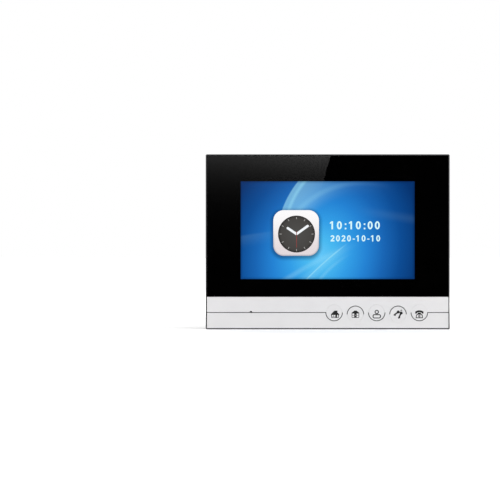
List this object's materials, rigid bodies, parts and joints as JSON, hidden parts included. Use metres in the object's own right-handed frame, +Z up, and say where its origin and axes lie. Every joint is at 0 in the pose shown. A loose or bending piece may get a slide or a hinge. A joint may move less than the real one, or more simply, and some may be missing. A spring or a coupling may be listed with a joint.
{
  "type": "video intercom monitor",
  "caption": "Slim wall-hung colour screen of a door intercom, with a strip of round keys, side dials, card slot and a hook-on wall bracket.",
  "frame": {"origin": "centre of the wall bracket's four screw holes, on the wall plane, behind the centre of the front outline", "axes": "+X to the right for a person facing the screen, +Y into the wall, +Z up"},
  "size_m": [0.216, 0.024, 0.155],
  "materials": {
    "zinc_steel": "zinc plated sheet",
    "housing_black": "fine spark-eroded texture",
    "cover_glass": "polished",
    "black_print": "black screen print",
    "tape": "foam tape",
    "panel_silver": "satin painted silver-white",
    "accent_dark": "dark filled line",
    "foam": "open-cell foam",
    "lcd_steel": "bright pressed sheet",
    "lcd_cell": "lit display picture",
    "light_guide": "white reflector",
    "screw_steel": "nickel plated",
    "cover_screw": "black oxide",
    "flex": "polyimide film",
    "circuit_board": "green solder resist",
    "switch_plastic": "moulded",
    "plunger_plastic": "moulded",
    "connector_ivory": "moulded nylon",
    "mic_can": "drawn can",
    "rubber": "moulded",
    "wire": "insulated lead",
    "chip": "epoxy",
    "capacitor": "aluminium can",
    "pin_metal": "plated pin",
    "lever_black": "moulded, knurled",
    "card_blue": "plain, no label",
    "speaker_steel": "lacquered steel",
    "paper_cone": "pressed paper"
  },
  "bodies": {
    "bracket": {"wall_bracket": "zinc_steel"},
    "monitor": {"accent_line": "accent_dark", "board_link": "connector_ivory", "board_screws": "screw_steel", "cable_sockets": "connector_ivory", "capacitors": "capacitor", "card_socket": "lcd_steel", "chips": "chip", "control_panel": "panel_silver", "cover_screws": "cover_screw", "flex_socket": "connector_ivory", "front_frame": "housing_black", "glass_tape": "tape", "key_board": "circuit_board", "key_board_screws": "screw_steel", "key_ribbon": "connector_ivory", "key_switches": "switch_plastic", "lcd_backlight": "light_guide", "lcd_bezel": "lcd_steel", "lcd_clamps": "lcd_steel", "lcd_flex": "flex", "lcd_gasket": "foam", "lcd_panel": "lcd_cell", "lcd_screws": "screw_steel", "main_board": "circuit_board", "mic_boot": "rubber", "mic_wires": "wire", "microphone": "mic_can", "power_coils": "chip", "power_switch": "switch_plastic", "print_mask": "black_print", "rear_cover": "housing_black", "rear_pads": "rubber", "screen_glass": "cover_glass", "side_board": "circuit_board", "socket_pins": "pin_metal", "speaker_basket": "speaker_steel", "speaker_cone": "paper_cone", "speaker_gasket": "foam", "speaker_magnet": "speaker_steel", "speaker_screws": "screw_steel", "speaker_wires": "wire", "wheel_pots": "switch_plastic"},
    "home_button": {"home_key": "panel_silver", "home_plunger": "plunger_plastic"},
    "camera_button": {"camera_key": "panel_silver", "camera_plunger": "plunger_plastic"},
    "call_button": {"call_key": "panel_silver", "call_plunger": "plunger_plastic"},
    "unlock_button": {"unlock_key": "panel_silver", "unlock_plunger": "plunger_plastic"},
    "talk_button": {"talk_key": "panel_silver", "talk_plunger": "plunger_plastic"},
    "volume_dial": {"volume_wheel": "lever_black"},
    "brightness_dial": {"brightness_wheel": "lever_black"},
    "contrast_dial": {"contrast_wheel": "lever_black"},
    "power_lever": {"switch_lever": "lever_black"},
    "card": {"memory_card": "card_blue"}
  },
  "joints": [
    {"name": "unit_lift", "type": "slide", "parent": "bracket", "child": "monitor", "axis": [0, 0, 1], "range_m": [0, 0.008]},
    {"name": "home_press", "type": "slide", "parent": "monitor", "child": "home_button", "axis": [0, 1, 0], "range_m": [0, 0.0004], "stiffness_N_per_m": 600},
    {"name": "camera_press", "type": "slide", "parent": "monitor", "child": "camera_button", "axis": [0, 1, 0], "range_m": [0, 0.0004], "stiffness_N_per_m": 600},
    {"name": "call_press", "type": "slide", "parent": "monitor", "child": "call_button", "axis": [0, 1, 0], "range_m": [0, 0.0004], "stiffness_N_per_m": 600},
    {"name": "unlock_press", "type": "slide", "parent": "monitor", "child": "unlock_button", "axis": [0, 1, 0], "range_m": [0, 0.0004], "stiffness_N_per_m": 600},
    {"name": "talk_press", "type": "slide", "parent": "monitor", "child": "talk_button", "axis": [0, 1, 0], "range_m": [0, 0.0004], "stiffness_N_per_m": 600},
    {"name": "volume_turn", "type": "hinge", "parent": "monitor", "child": "volume_dial", "pos_m": [0.0991, -0.006, 0.048], "axis": [0, 1, 0], "range_deg": [-140, 140]},
    {"name": "brightness_turn", "type": "hinge", "parent": "monitor", "child": "brightness_dial", "pos_m": [0.0991, -0.006, 0.028], "axis": [0, 1, 0], "range_deg": [-140, 140]},
    {"name": "contrast_turn", "type": "hinge", "parent": "monitor", "child": "contrast_dial", "pos_m": [0.0991, -0.006, 0.008], "axis": [0, 1, 0], "range_deg": [-140, 140]},
    {"name": "power_slide", "type": "slide", "parent": "monitor", "child": "power_lever", "axis": [0, 0, 1], "range_m": [0, 0.002]},
    {"name": "card_pull", "type": "slide", "parent": "monitor", "child": "card", "axis": [1, 0, 0], "range_m": [0, 0.026]}
  ]
}
